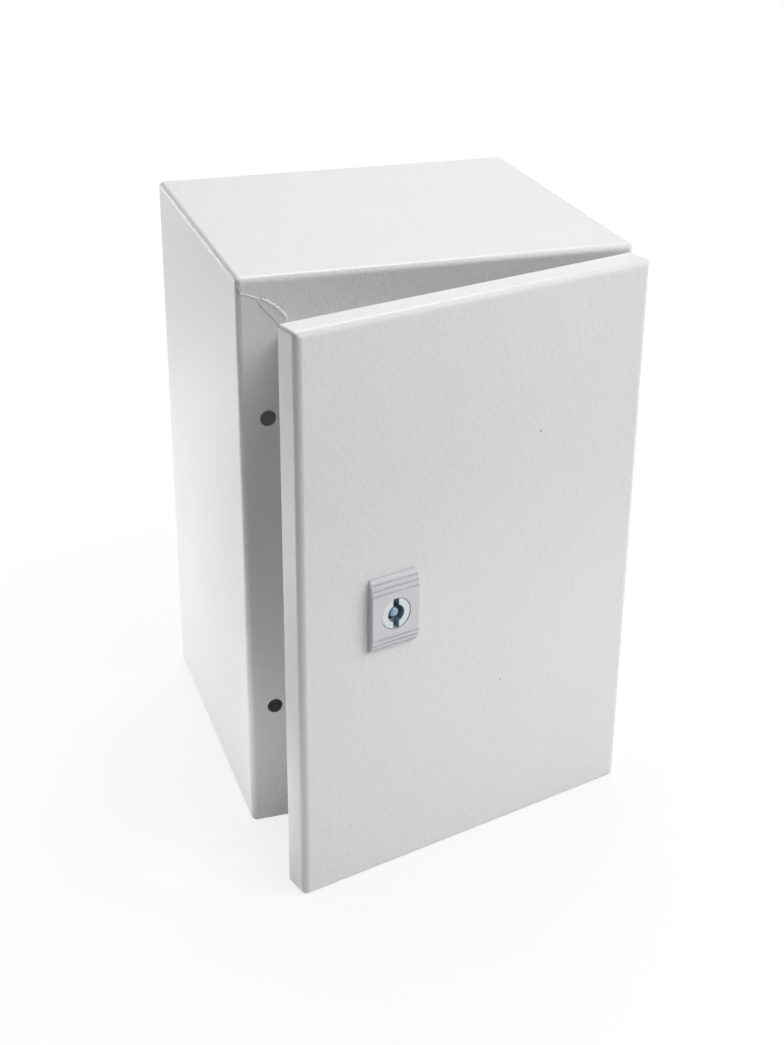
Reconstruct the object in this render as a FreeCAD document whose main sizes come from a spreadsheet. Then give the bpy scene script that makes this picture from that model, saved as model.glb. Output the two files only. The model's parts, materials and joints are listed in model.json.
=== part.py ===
import FreeCAD, Part
import os
import re

import Sketcher
from FreeCAD import Vector

# Steel wall enclosure with a hinged door, in millimetres.
# The origin is the centre of the four wall holes, on the back face: +Z is up,
# and -Y points out of the wall, towards the door. The door stands ajar at rest.

SIZES = (
    ("width", 200.0, "outside width of the body"),
    ("height", 300.0, "outside height of the body"),
    ("body_depth", 182.0, "back face to front flange"),
    ("body_steel", 1.2, "sheet of the body"),
    ("body_bend", 3.0, "outside radius of the body's folds and ground welds"),
    ("flange_width", 25.5, "front flange, from the outside to the opening"),
    ("lip_height", 10.0, "lip that stands forward around the opening"),
    ("weld_width", 5.0, "bead along each mitre of the flange"),
    ("weld_shift", 1.2, "bead's middle from the mitre, towards the side"),
    ("weld_rise", 0.8, "height of the bead"),
    ("weld_round", 0.5, "rounded edges of the bead"),
    ("weld_start", 10.0, "bead's start, from the outside corner"),
    ("weld_taper", 3.0, "length over which the bead widens"),
    ("weld_stop", 2.5, "bead's end, from the lip"),
    ("wall_hole", 8.5, "wall fixing holes in the back"),
    ("wall_hole_side", 20.0, "wall holes from the body's sides"),
    ("wall_hole_end", 20.0, "wall holes from the top and the base"),
    ("door_gap", 3.0, "front flange to the door's folded edge"),
    ("door_depth", 15.0, "folded depth of the door"),
    ("door_steel", 1.5, "sheet of the door"),
    ("door_bend", 3.6, "outside radius of the door's folds"),
    ("door_corner", 1.8, "outside radius of the door's upper welded corners"),
    ("door_base_corner", 2.6, "outside radius of its lower welded corners"),
    ("door_side_clearance", 0.2, "door's edge inside the body's side"),
    ("door_top_clearance", 3.5, "door's edge below the top"),
    ("door_base_clearance", 0.2, "door's edge above the base"),
    ("open_angle", 15.6, "door's angle at rest, from closed"),
    ("gasket_width", 10.0, "foamed door gasket, across"),
    ("gasket_gap", 0.3, "lip to gasket with the door closed"),
    ("gasket_corner", 2.4, "inner corner radius of the gasket"),
    ("gasket_round", 2.0, "rounded free edges of the gasket"),
    ("hinge_end", 70.0, "hinges from the top and the base"),
    ("hinge_hole", 8.0, "hinge holes in the front flange"),
    ("hinge_hole_inset", 14.0, "hinge hole from the outside"),
    ("hinge_inset", 5.5, "hinge axis from the door's side"),
    ("swing_margin", 2.76, "spare room as the door's edge passes the flange"),
    ("knuckle", 6.5, "outside diameter of the hinge knuckles"),
    ("hinge_pin", 4.0, "diameter of the hinge pins"),
    ("running_clearance", 0.05, "radial clearance of pins, screws and the rotor"),
    ("hinge_sheet", 2.5, "steel of the hinge bracket and leaf"),
    ("hinge_height", 24.0, "length of a hinge"),
    ("leaf_knuckle", 8.0, "length of the leaf's knuckle"),
    ("knuckle_gap", 0.3, "end gap between knuckles"),
    ("leaf_reach", 12.5, "leaf's plate, from the hinge axis"),
    ("bracket_gap", 0.3, "bracket's edge from the lip that squares it"),
    ("notch_margin", 1.0, "door notch beyond each end of the hinge"),
    ("notch_past_axis", 3.0, "door notch in front of the hinge axis"),
    ("pin_head", 6.0, "head of the hinge pin"),
    ("pin_head_height", 1.5, "height of that head"),
    ("pin_head_round", 0.5, "rounded edge of that head"),
    ("pin_tail", 1.0, "pin below its bracket"),
    ("thread", 6.0, "diameter of the larger screws and studs"),
    ("nut_flats", 10.0, "across flats of their nuts and heads"),
    ("nut_height", 5.0, "height of their nuts"),
    ("head_height", 4.0, "height of their screw heads"),
    ("washer", 12.0, "their washers, outside"),
    ("washer_hole", 6.4, "their washers, inside"),
    ("washer_thickness", 1.6, "their washers, thickness"),
    ("plate_side", 25.0, "mounting plate from the body's sides"),
    ("plate_end", 25.0, "mounting plate from the top and the base"),
    ("plate_steel", 2.0, "mounting plate, thickness"),
    ("plate_corner", 5.0, "mounting plate, corner radius"),
    ("plate_standoff", 12.0, "mounting plate from the back wall"),
    ("plate_stud_inset", 10.0, "plate studs from the plate's edges"),
    ("plate_stud_hole", 7.0, "stud holes in the plate"),
    ("stud_collar", 11.0, "collar of each plate stud"),
    ("plate_stud_length", 14.0, "plate studs in front of their collars"),
    ("gland_opening_width", 110.0, "cable opening in the base, across"),
    ("gland_opening_depth", 70.0, "cable opening in the base, front to back"),
    ("gland_corner", 6.0, "corner radius of the cable opening"),
    ("gland_margin", 15.0, "gland plate beyond the opening"),
    ("gland_steel", 1.5, "gland plate, thickness"),
    ("gland_seal", 3.0, "gland gasket, thickness"),
    ("small_thread", 5.0, "diameter of the gland studs"),
    ("small_stud_length", 15.0, "gland studs above the base"),
    ("small_nut_flats", 8.0, "across flats of the gland nuts"),
    ("small_nut_height", 4.0, "height of the gland nuts"),
    ("small_washer", 10.0, "gland washers, outside"),
    ("small_washer_thickness", 1.0, "gland washers, thickness"),
    ("small_hole", 5.6, "clearance holes for the gland studs"),
    ("earth_stud_length", 13.0, "earth studs, from the sheet"),
    ("body_earth_side", 24.0, "body's earth stud from the right side"),
    ("body_earth_front", 22.0, "body's earth stud from the front flange"),
    ("door_earth_side", 44.0, "door's earth stud from the door's hinge side"),
    ("door_earth_rise", 43.0, "door's earth stud from the door's lower edge"),
    ("lock_inset", 50.5, "lock from the door's free side"),
    ("lock_width", 27.0, "lock head, across"),
    ("lock_height", 39.0, "lock head, up"),
    ("lock_rise", 4.0, "lock head, middle height above the door"),
    ("lock_end_rise", 1.0, "lock head, height at its ends"),
    ("lock_flat", 22.0, "flat middle of the lock head"),
    ("lock_corner", 1.2, "corner radius of the lock head"),
    ("lock_edge", 0.5, "rounded front edges of the lock head"),
    ("rib_pitch", 2.6, "spacing of the finger ribs"),
    ("rib_groove", 1.0, "width of the grooves between the ribs"),
    ("rib_groove_depth", 0.6, "depth of those grooves"),
    ("barrel", 22.0, "threaded barrel of the lock"),
    ("barrel_length", 14.0, "barrel behind the door's sheet"),
    ("lock_hole", 22.4, "lock hole in the door"),
    ("lock_nut_flats", 27.0, "across flats of the lock nut"),
    ("lock_nut_height", 5.0, "height of the lock nut"),
    ("lock_seal", 25.0, "flat seal under the lock head, outside"),
    ("lock_seal_thickness", 1.0, "that seal, thickness"),
    ("rotor_head", 16.0, "rotor, at the face of the lock"),
    ("rotor_head_length", 8.0, "rotor, length of that head"),
    ("rotor_shank", 12.0, "rotor, through the barrel"),
    ("rotor_recess", 0.2, "rotor's face below the lock head"),
    ("rotor_clearance", 0.25, "gap round the rotor's head"),
    ("rotor_edge", 0.3, "rounded edge of the rotor's face"),
    ("key_socket", 9.2, "key socket, diameter"),
    ("key_socket_depth", 9.0, "key socket, depth"),
    ("key_pin", 5.4, "pin in the key socket"),
    ("key_pin_recess", 1.0, "pin's tip below the rotor's face"),
    ("key_pin_round", 1.8, "rounded tip of that pin"),
    ("key_slot", 3.4, "slots for the key's two bits"),
    ("key_slot_depth", 4.0, "depth of those slots"),
    ("cam_square", 8.0, "square that drives the cam"),
    ("cam_square_clearance", 0.05, "cam on its square, each side"),
    ("cam_steel", 2.5, "cam, thickness"),
    ("cam_clearance", 1.3, "cam behind the flange"),
    ("cam_reach", 40.0, "cam's tip from the lock's axis"),
    ("cam_round", 9.0, "cam's radius about the lock's axis"),
    ("cam_tip", 6.0, "cam's radius at its tip"),
    ("cam_screw_length", 10.0, "cam screw inside the rotor"),
    ("cam_washer", 15.0, "washer that holds the cam"),
)

# Places that follow from the sizes. A lower-case word in a formula is one of
# the sizes above or another of these places.
PLACES = {
    "half_width": "width / 2",
    "half_height": "height / 2",
    "wall_hole_x": "half_width - wall_hole_side",
    "wall_hole_z": "half_height - wall_hole_end",
    "opening_half_width": "width / 2 - flange_width",
    "opening_half_height": "height / 2 - flange_width",
    "lip_outside": "opening_half_width + body_steel",
    "door_half_width": "width / 2 - door_side_clearance",
    "door_half_height": "(height - door_top_clearance - door_base_clearance) / 2",
    "door_middle": "(door_base_clearance - door_top_clearance) / 2",
    "door_back": "body_depth + door_gap",
    "door_front": "door_back + door_depth",
    "door_inside": "door_front - door_steel",
    "gasket_height": "door_inside - body_depth - lip_height - gasket_gap",
    "hinge_x": "door_half_width - hinge_inset",
    "hinge_standoff": "(hinge_inset^2 + door_gap^2) / (2 * door_gap) + swing_margin",
    "hinge_y": "body_depth + hinge_standoff",
    "hinge_z": "half_height - hinge_end",
    "hinge_hole_x": "half_width - hinge_hole_inset",
    "plate_half_width": "half_width - plate_side",
    "plate_half_height": "half_height - plate_end",
    "plate_stud_x": "plate_half_width - plate_stud_inset",
    "plate_stud_z": "plate_half_height - plate_stud_inset",
    "gland_stud_x": "gland_opening_width / 2 + gland_margin / 2",
    "gland_stud_y": "gland_opening_depth / 2 + gland_margin / 2",
    "lock_x": "lock_inset - door_half_width",
    "cam_front": "door_front - body_depth + body_steel + cam_clearance",
    "rotor_face": "lock_rise - rotor_recess",
}

doc = FreeCAD.newDocument("wall_enclosure")
sheet = doc.addObject("Spreadsheet::Sheet", "sizes")
names = set()
parts = []


def fill_sheet():
    """Writes each size, its name and what it is into the sheet."""
    for row, (name, size, note) in enumerate(SIZES, 1):
        sheet.set(f"A{row}", name)
        sheet.set(f"B{row}", str(size))
        sheet.set(f"C{row}", note)
        sheet.setAlias(f"B{row}", name)
        names.add(name)
    doc.recompute()


def formula(text):
    """Turns words for sizes and places into an expression on the sheet."""
    def replace(match):
        word = match.group(0)
        if word in PLACES:
            return "(" + formula(PLACES[word]) + ")"
        return "sizes." + word if word in names else word
    return re.sub(r"[a-z_]+", replace, str(text))


def value(text):
    """The number that a formula has now."""
    return float(sheet.evalExpression(formula(text)))


def bind(thing, path, text):
    thing.setExpression(path, formula(text))


# Sketches

def sketch_on(body, role, offset="0"):
    """A sketch on one of the body's own planes, moved along its normal."""
    sketch = body.newObject("Sketcher::SketchObject", body.Name + "_sketch")
    plane = next(item for item in body.Origin.OriginFeatures if item.Role == role)
    sketch.AttachmentSupport = [(plane, "")]
    sketch.MapMode = "FlatFace"
    bind(sketch, "AttachmentOffset.Base.z", offset)
    return sketch


def pin_point(sketch, geometry, position, point):
    """Fixes a sketch point at two formulas, from the sketch's origin."""
    for kind, text in zip(("DistanceX", "DistanceY"), point):
        rule = Sketcher.Constraint(kind, -1, 1, geometry, position, value(text))
        bind(sketch, f"Constraints[{sketch.addConstraint(rule)}]", text)


def circle(sketch, x, y, diameter):
    centre = Vector(value(x), value(y), 0)
    shape = Part.Circle(centre, Vector(0, 0, 1), value(diameter) / 2)
    geometry = sketch.addGeometry(shape)
    pin_point(sketch, geometry, 3, (x, y))
    rule = Sketcher.Constraint("Diameter", geometry, value(diameter))
    bind(sketch, f"Constraints[{sketch.addConstraint(rule)}]", diameter)


def arc_middle(start, end, along):
    """Middle of the arc that leaves start in the direction along."""
    chord = end - start
    normal = Vector(-along.y, along.x, 0)
    radius = chord.dot(chord) / (2 * chord.dot(normal))
    centre = start + normal * radius
    outward = (start + end) * 0.5 - centre
    return centre + outward.normalize() * abs(radius)


def loop(sketch, corners):
    """Draws a closed loop. A corner is (x, y), (x, y, radius) where the sides
    are square to each other, or (x, y, "leaves") and (x, y, "meets") where the
    side that starts there is an arc, tangent to the side before or after it."""
    points = round_corners(corners)
    spots = [Vector(value(x), value(y), 0) for x, y, kind in points]
    count = len(points)
    ends = []
    for index, (x, y, kind) in enumerate(points):
        start, end = spots[index], spots[(index + 1) % count]
        if kind == "line":
            sketch.addGeometry(Part.LineSegment(start, end))
            ends.append((1, 2))
            continue
        if kind == "leaves":
            along = (start - spots[index - 1]).normalize()
            middle = arc_middle(start, end, along)
        else:
            along = (end - spots[(index + 2) % count]).normalize()
            middle = arc_middle(end, start, along)
        turn = (middle - start).cross(end - middle).z
        if turn > 0:
            sketch.addGeometry(Part.Arc(start, middle, end))
            ends.append((1, 2))
        else:
            sketch.addGeometry(Part.Arc(end, middle, start))
            ends.append((2, 1))
    first = sketch.GeometryCount - count
    for index in range(count):
        before = (index - 1) % count
        smooth = points[index][2] == "leaves" or points[before][2] == "meets"
        rule = "Tangent" if smooth else "Coincident"
        sketch.addConstraint(Sketcher.Constraint(
            rule, first + before, ends[before][1], first + index, ends[index][0]))
        pin_point(sketch, first + index, ends[index][0], points[index][:2])


def round_corners(corners):
    """Replaces each corner that has a radius with the two ends of its arc."""
    points = []
    count = len(corners)
    for index, corner in enumerate(corners):
        x, y = corner[:2]
        extra = corner[2] if len(corner) > 2 else "line"
        if extra in ("line", "leaves", "meets"):
            points.append((x, y, extra))
            continue
        here = (value(x), value(y))
        for other, kind in ((corners[index - 1], "leaves"), (corners[(index + 1) % count], "line")):
            step_x = value(other[0]) - here[0]
            step_y = value(other[1]) - here[1]
            if abs(step_x) > abs(step_y):
                sign = "+" if step_x > 0 else "-"
                points.append((f"{x} {sign} ({extra})", y, kind))
            else:
                sign = "+" if step_y > 0 else "-"
                points.append((x, f"{y} {sign} ({extra})", kind))
    return points


def rectangle(sketch, half_x, half_y, radius=None, centre=("0", "0")):
    """A rectangle about a centre, with round corners where a radius is given."""
    extra = (radius,) if radius else ()
    x, y = centre
    loop(sketch, [
        (f"{x} - ({half_x})", f"{y} - ({half_y})") + extra,
        (f"{x} + ({half_x})", f"{y} - ({half_y})") + extra,
        (f"{x} + ({half_x})", f"{y} + ({half_y})") + extra,
        (f"{x} - ({half_x})", f"{y} + ({half_y})") + extra,
    ])


def hexagon(sketch, x, y, flats):
    """A nut's outline, with two corners along the sketch's x."""
    half = f"({flats}) / 2"
    corner = f"({flats}) / sqrt(3)"
    loop(sketch, [
        (f"{x} + {corner}", y),
        (f"{x} + {corner} / 2", f"{y} + {half}"),
        (f"{x} - {corner} / 2", f"{y} + {half}"),
        (f"{x} - {corner}", y),
        (f"{x} - {corner} / 2", f"{y} - {half}"),
        (f"{x} + {corner} / 2", f"{y} - {half}"),
    ])


def four(x, y):
    """The four corners of a pattern about the origin."""
    return [(f"{a}({x})", f"{b}({y})") for a in ("-", "") for b in ("-", "")]


# Features

def new_body(name):
    body = doc.addObject("PartDesign::Body", name)
    body.Label = name
    parts.append(body)
    return body


def pad(body, sketch, length, back=False, both_ways=False):
    feature = body.newObject("PartDesign::Pad", body.Name + "_pad")
    feature.Profile = sketch
    bind(feature, "Length", length)
    feature.Reversed = back
    feature.Midplane = both_ways
    doc.recompute()
    return feature


def pocket(body, sketch, depth, back=False, both_ways=False):
    """Cuts against the sketch's normal, or along it with back."""
    before = body.Shape.Volume
    feature = body.newObject("PartDesign::Pocket", body.Name + "_pocket")
    feature.Profile = sketch
    bind(feature, "Length", depth)
    feature.Reversed = back
    feature.Midplane = both_ways
    doc.recompute()
    if body.Shape.Volume > before - 1e-6:
        raise RuntimeError(feature.Name + " cuts nothing")
    return feature


def edges_where(feature, test):
    """Names of the feature's edges that pass a test."""
    return [f"Edge{number}" for number, edge in enumerate(feature.Shape.Edges, 1) if test(edge)]


def at_height(axis, place):
    """A test for edges that lie at one height along an axis."""
    level = value(place)

    def test(edge):
        box = edge.BoundBox
        low, high = getattr(box, axis + "Min"), getattr(box, axis + "Max")
        return abs(low - level) < 1e-4 and abs(high - level) < 1e-4
    return test


def fillet(body, feature, test, radius):
    edges = edges_where(feature, test)
    if not edges:
        raise RuntimeError("no edge to round on " + feature.Name)
    result = body.newObject("PartDesign::Fillet", body.Name + "_fillet")
    result.Base = (feature, edges)
    bind(result, "Radius", radius)
    doc.recompute()
    return result


def place(body, x="0", y="0", z="0", on_door=False):
    """Moves a finished piece to its seat; the door's pieces also turn with it."""
    seat = f"placement(vector({x}; {y}; {z}); rotation(vector(0; 0; 1); 0))"
    turn = ("placement(vector(0; 0; 0); rotation(vector(0; 0; 1); open_angle); "
            "vector(hinge_x; -hinge_y; 0))")
    bind(body, "Placement", f"{turn} * {seat}" if on_door else seat)


def rings(name, role, spots, outside, inside, length, offset="0", flats=False):
    """A group of washers or nuts: a ring, or a hexagon, with a hole at each spot."""
    body = new_body(name)
    sketch = sketch_on(body, role, offset)
    for x, y in spots:
        if flats:
            hexagon(sketch, x, y, outside)
        else:
            circle(sketch, x, y, outside)
        circle(sketch, x, y, inside)
    pad(body, sketch, length)
    return body


def rods(body, role, spots, diameter, length, offset="0"):
    """Adds a round rod at each spot."""
    sketch = sketch_on(body, role, offset)
    for x, y in spots:
        circle(sketch, x, y, diameter)
    return pad(body, sketch, length)


# Body of the enclosure

def hollow_shell(name):
    """The folded box with its front flange and lip, before it is divided."""
    body = new_body(name)
    block = sketch_on(body, "XZ_Plane")
    rectangle(block, "half_width", "half_height")
    outside = pad(body, block, "body_depth")
    fillet(body, outside, lambda edge: True, "body_bend")
    hollow = sketch_on(body, "XZ_Plane", "body_depth - body_steel")
    rectangle(hollow, "half_width - body_steel", "half_height - body_steel",
              "body_bend - body_steel")
    pocket(body, hollow, "body_depth - 2 * body_steel")
    opening = sketch_on(body, "XZ_Plane", "body_depth")
    rectangle(opening, "opening_half_width", "opening_half_height")
    pocket(body, opening, "2 * body_steel")
    lip = sketch_on(body, "XZ_Plane", "body_depth")
    rectangle(lip, "lip_outside", "opening_half_height + body_steel")
    rectangle(lip, "opening_half_width", "opening_half_height")
    pad(body, lip, "lip_height")
    return body


def mitre_line(side):
    """Front view of the seam, left to right: down the left mitre and up the right."""
    past = "flange_width + body_steel"
    top = f"{side}(half_height - body_steel)"
    low = f"{side}(half_height - ({past}))"
    return [
        ("-half_width - body_steel", top),
        ("body_steel - half_width", top),
        (f"{past} - half_width", low),
        (f"half_width - ({past})", low),
        ("half_width - body_steel", top),
        ("half_width + body_steel", top),
    ]


def cut_at_seam(body, side, far_side):
    """Cuts the shell where the wrap meets the top or base panel, and removes
    what lies from that seam to the far side."""
    near = f"{side}(half_height - body_steel)"
    far = f"{far_side}(half_height + body_steel)"
    rear = sketch_on(body, "XZ_Plane")
    loop(rear, [
        ("-half_width - body_steel", near), ("half_width + body_steel", near),
        ("half_width + body_steel", far), ("-half_width - body_steel", far),
    ])
    pocket(body, rear, "body_depth - body_steel", back=True)
    front = sketch_on(body, "XZ_Plane", "body_depth - body_steel")
    loop(front, mitre_line(side) + [
        ("half_width + body_steel", far), ("-half_width - body_steel", far),
    ])
    pocket(body, front, "lip_height + 2 * body_steel", back=True)


def side_and_back_wrap():
    """The sheet that is folded round the sides and the back."""
    body = hollow_shell("side_and_back_wrap")
    cut_at_seam(body, "", "")
    cut_at_seam(body, "-", "-")
    wall_holes = sketch_on(body, "XZ_Plane")
    for x, z in four("wall_hole_x", "wall_hole_z"):
        circle(wall_holes, x, z, "wall_hole")
    pocket(body, wall_holes, "2 * body_steel", back=True)
    hinge_holes = sketch_on(body, "XZ_Plane", "body_depth")
    for x, z in four("hinge_hole_x", "hinge_z"):
        circle(hinge_holes, x, z, "hinge_hole")
    pocket(body, hinge_holes, "2 * body_steel")


def top_panel():
    cut_at_seam(hollow_shell("top_panel"), "", "-")


def bottom_panel():
    """The base, with its cable opening behind the gland plate."""
    body = hollow_shell("bottom_panel")
    cut_at_seam(body, "-", "")
    opening = sketch_on(body, "XY_Plane", "-half_height")
    rectangle(opening, "gland_opening_width / 2", "gland_opening_depth / 2",
              "gland_corner", ("0", "-body_depth / 2"))
    pocket(body, opening, "2 * body_steel", back=True)


def corner_welds():
    """Low beads along the four mitres of the front flange, pointed at the start."""
    body = new_body("corner_welds")
    sketch = sketch_on(body, "XZ_Plane", "body_depth")
    outer = "((weld_width / 2 - weld_shift) / sqrt(2))"
    inner = "((weld_width / 2 + weld_shift) / sqrt(2))"
    full = "weld_start + weld_taper"
    stop = "flange_width - weld_stop"
    for x_sign, z_sign in (("-", ""), ("", ""), ("", "-"), ("-", "-")):
        loop(sketch, [
            (f"{x_sign}(half_width - ({along}) + ({across}))",
             f"{z_sign}(half_height - ({along}) - ({across}))")
            for along, across in (("weld_start", "0"), (full, inner), (stop, inner),
                                  (stop, f"-{outer}"), (full, f"-{outer}"))
        ])
    bead = pad(body, sketch, "weld_rise")
    fillet(body, bead, at_height("Y", "-body_depth - weld_rise"), "weld_round")


# Inside the body

def mounting_plate():
    body = new_body("mounting_plate")
    back = "body_steel + plate_standoff"
    sketch = sketch_on(body, "XZ_Plane", back)
    rectangle(sketch, "plate_half_width", "plate_half_height", "plate_corner")
    for x, z in four("plate_stud_x", "plate_stud_z"):
        circle(sketch, x, z, "plate_stud_hole")
    pad(body, sketch, "plate_steel")
    studs = new_body("plate_studs")
    spots = four("plate_stud_x", "plate_stud_z")
    rods(studs, "XZ_Plane", spots, "stud_collar", "plate_standoff", "body_steel")
    rods(studs, "XZ_Plane", spots, "thread", "plate_stud_length", back)
    front = f"{back} + plate_steel"
    rings("plate_washers", "XZ_Plane", spots, "washer", "washer_hole",
          "washer_thickness", front)
    rings("plate_nuts", "XZ_Plane", spots, "nut_flats", "thread + 2 * running_clearance",
          "nut_height", f"{front} + washer_thickness", flats=True)


def gland():
    """Blank gland plate on its gasket, held by four studs inside the base."""
    spots = [(x, f"{y} - body_depth / 2") for x, y in four("gland_stud_x", "gland_stud_y")]
    base = "body_steel - half_height"
    half_x = "gland_opening_width / 2"
    half_y = "gland_opening_depth / 2"
    centre = ("0", "-body_depth / 2")
    seal = new_body("gland_gasket")
    sketch = sketch_on(seal, "XY_Plane", base)
    rectangle(sketch, f"{half_x} + gland_margin", f"{half_y} + gland_margin",
              "gland_corner", centre)
    rectangle(sketch, half_x, half_y, "gland_corner", centre)
    for x, y in spots:
        circle(sketch, x, y, "small_hole")
    pad(seal, sketch, "gland_seal")
    plate = new_body("gland_plate")
    sketch = sketch_on(plate, "XY_Plane", f"{base} + gland_seal")
    rectangle(sketch, f"{half_x} + gland_margin", f"{half_y} + gland_margin",
              "gland_corner", centre)
    for x, y in spots:
        circle(sketch, x, y, "small_hole")
    pad(plate, sketch, "gland_steel")
    top = f"{base} + gland_seal + gland_steel"
    rods(new_body("gland_studs"), "XY_Plane", spots, "small_thread",
         "small_stud_length", base)
    rings("gland_washers", "XY_Plane", spots, "small_washer", "small_hole",
          "small_washer_thickness", top)
    rings("gland_nuts", "XY_Plane", spots, "small_nut_flats",
          "small_thread + 2 * running_clearance", "small_nut_height",
          f"{top} + small_washer_thickness", flats=True)


def earth_point(owner, role, seat, on_door=False):
    """An earth stud with its washer and nut, built inwards from a sheet."""
    spot = [("0", "0")]

    def level(rise, length):
        return f"-({rise}) - {length}" if on_door else rise
    stud = new_body(owner + "_earth_stud")
    rods(stud, role, spot, "thread", "earth_stud_length", level("0", "earth_stud_length"))
    washer = rings(owner + "_earth_washer", role, spot, "washer", "washer_hole",
                   "washer_thickness", level("0", "washer_thickness"))
    nut = rings(owner + "_earth_nut", role, spot, "nut_flats",
                "thread + 2 * running_clearance", "nut_height",
                level("washer_thickness", "nut_height"), flats=True)
    for body in (stud, washer, nut):
        place(body, *seat, on_door=on_door)


# Door

def door_panel():
    """The folded door, notched at its hinges and cut for its lock."""
    body = new_body("door_panel")
    middle = ("0", "door_middle")
    block = sketch_on(body, "XZ_Plane", "door_back")
    rectangle(block, "door_half_width", "door_half_height", centre=middle)
    outside = pad(body, block, "door_depth")
    folded = fillet(body, outside, at_height("Y", "-door_front"), "door_bend")

    def corners(side):
        def test(edge):
            box = edge.BoundBox
            return box.YLength > box.XLength + box.ZLength and side * box.ZMin > 0
        return test
    rounded = fillet(body, folded, corners(1), "door_corner")
    fillet(body, rounded, corners(-1), "door_base_corner")
    hollow = sketch_on(body, "XZ_Plane", "door_inside")
    rectangle(hollow, "door_half_width - door_steel", "door_half_height - door_steel",
              "door_bend - door_steel", middle)
    inside = pocket(body, hollow, "door_depth + door_steel")
    fillet(body, inside, at_height("Y", "-door_inside"), "door_bend - door_steel")
    for side in ("", "-"):
        notch = sketch_on(body, "YZ_Plane", "door_half_width + door_steel")
        half = "hinge_height / 2 + notch_margin"
        loop(notch, [
            ("-hinge_y - notch_past_axis", f"{side}hinge_z - ({half})"),
            ("door_steel - door_back", f"{side}hinge_z - ({half})"),
            ("door_steel - door_back", f"{side}hinge_z + {half}"),
            ("-hinge_y - notch_past_axis", f"{side}hinge_z + {half}"),
        ])
        pocket(body, notch, "3 * door_steel")
    lock_hole = sketch_on(body, "XZ_Plane", "door_front + door_steel")
    circle(lock_hole, "lock_x", "door_middle", "lock_hole")
    pocket(body, lock_hole, "3 * door_steel")
    place(body, on_door=True)


def door_gasket():
    """Foamed seal on the door's inner face, over the body's lip."""
    body = new_body("door_gasket")
    sketch = sketch_on(body, "XZ_Plane", "door_inside - gasket_height")
    for grow, radius in (("gasket_width / 2", "gasket_width"), ("-gasket_width / 2", "gasket_corner")):
        rectangle(sketch, f"opening_half_width + body_steel / 2 + {grow}",
                  f"opening_half_height + body_steel / 2 + {grow}", radius)
    ring = pad(body, sketch, "gasket_height")
    fillet(body, ring, at_height("Y", "gasket_height - door_inside"), "gasket_round")
    place(body, on_door=True)


# Hinges, each drawn about its own axis at mid-length

def knuckle_ring(body, length):
    """A knuckle about the hinge axis, joined to what the body has so far."""
    sketch = sketch_on(body, "XY_Plane")
    circle(sketch, "0", "0", "knuckle")
    pad(body, sketch, length, both_ways=True)


def knuckle_bore(body):
    sketch = sketch_on(body, "XY_Plane")
    circle(sketch, "0", "0", "hinge_pin + 2 * running_clearance")
    pocket(body, sketch, "2 * hinge_height", both_ways=True)


def hinge_bracket(name, height):
    """Angle on the front flange with the outer two knuckles."""
    body = new_body(name)
    left = "lip_outside + bracket_gap - hinge_x"
    arm = "hinge_sheet - knuckle / 2"
    sketch = sketch_on(body, "XY_Plane")
    loop(sketch, [
        (left, "hinge_standoff"), (left, "hinge_standoff - hinge_sheet"),
        ("-knuckle / 2", "hinge_standoff - hinge_sheet"), ("-knuckle / 2", "0"),
        (arm, "0"), (arm, "hinge_standoff", "hinge_sheet"),
    ])
    pad(body, sketch, "hinge_height", both_ways=True)
    knuckle_ring(body, "hinge_height")
    middle = sketch_on(body, "XY_Plane")
    loop(middle, [
        ("-knuckle", "-knuckle"), ("knuckle", "-knuckle"),
        ("knuckle", "hinge_standoff - hinge_sheet"),
        ("-knuckle", "hinge_standoff - hinge_sheet"),
    ])
    pocket(body, middle, "leaf_knuckle + 2 * knuckle_gap", both_ways=True)
    knuckle_bore(body)
    tapped = sketch_on(body, "XZ_Plane", "-hinge_standoff - hinge_sheet")
    circle(tapped, "hinge_hole_x - hinge_x", "0", "thread + 2 * running_clearance")
    pocket(body, tapped, "3 * hinge_sheet", back=True)
    place(body, "hinge_x", "-hinge_y", height)


def hinge_leaf(name, height):
    """Angle welded inside the door, with the middle knuckle."""
    body = new_body(name)
    seat = "hinge_y - door_inside"
    arm = "hinge_sheet - knuckle / 2"
    plate = sketch_on(body, "XY_Plane")
    loop(plate, [
        ("-leaf_reach", seat), (arm, seat), (arm, f"{seat} + hinge_sheet"),
        ("-leaf_reach", f"{seat} + hinge_sheet"),
    ])
    pad(body, plate, "hinge_height", both_ways=True)
    rib = sketch_on(body, "XY_Plane")
    loop(rib, [
        ("-knuckle / 2", seat), (arm, seat), (arm, "0"), ("-knuckle / 2", "0"),
    ])
    pad(body, rib, "leaf_knuckle", both_ways=True)
    knuckle_ring(body, "leaf_knuckle")
    knuckle_bore(body)
    place(body, "hinge_x", "-hinge_y", height, on_door=True)


def hinge_pin(name, height):
    """Headed pin, dropped in from above."""
    body = new_body(name)
    rods(body, "XY_Plane", [("0", "0")], "hinge_pin", "hinge_height + pin_tail",
         "-hinge_height / 2 - pin_tail")
    head = rods(body, "XY_Plane", [("0", "0")], "pin_head", "pin_head_height",
                "hinge_height / 2")
    top = at_height("Z", "hinge_height / 2 + pin_head_height")
    fillet(body, head, top, "pin_head_round")
    place(body, "hinge_x", "-hinge_y", height)


def hinge_fixings():
    """Screws from inside the body, through the flange into the brackets."""
    spots = [("hinge_hole_x", f"{side}hinge_z") for side in ("", "-")]
    inside = "body_depth - body_steel"
    rings("hinge_washers", "XZ_Plane", spots, "washer", "washer_hole",
          "washer_thickness", f"{inside} - washer_thickness")
    body = new_body("hinge_screws")
    heads = sketch_on(body, "XZ_Plane", f"{inside} - washer_thickness - head_height")
    for x, z in spots:
        hexagon(heads, x, z, "nut_flats")
    pad(body, heads, "head_height")
    rods(body, "XZ_Plane", spots, "thread", "washer_thickness + body_steel + hinge_sheet",
         f"{inside} - washer_thickness")


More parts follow.
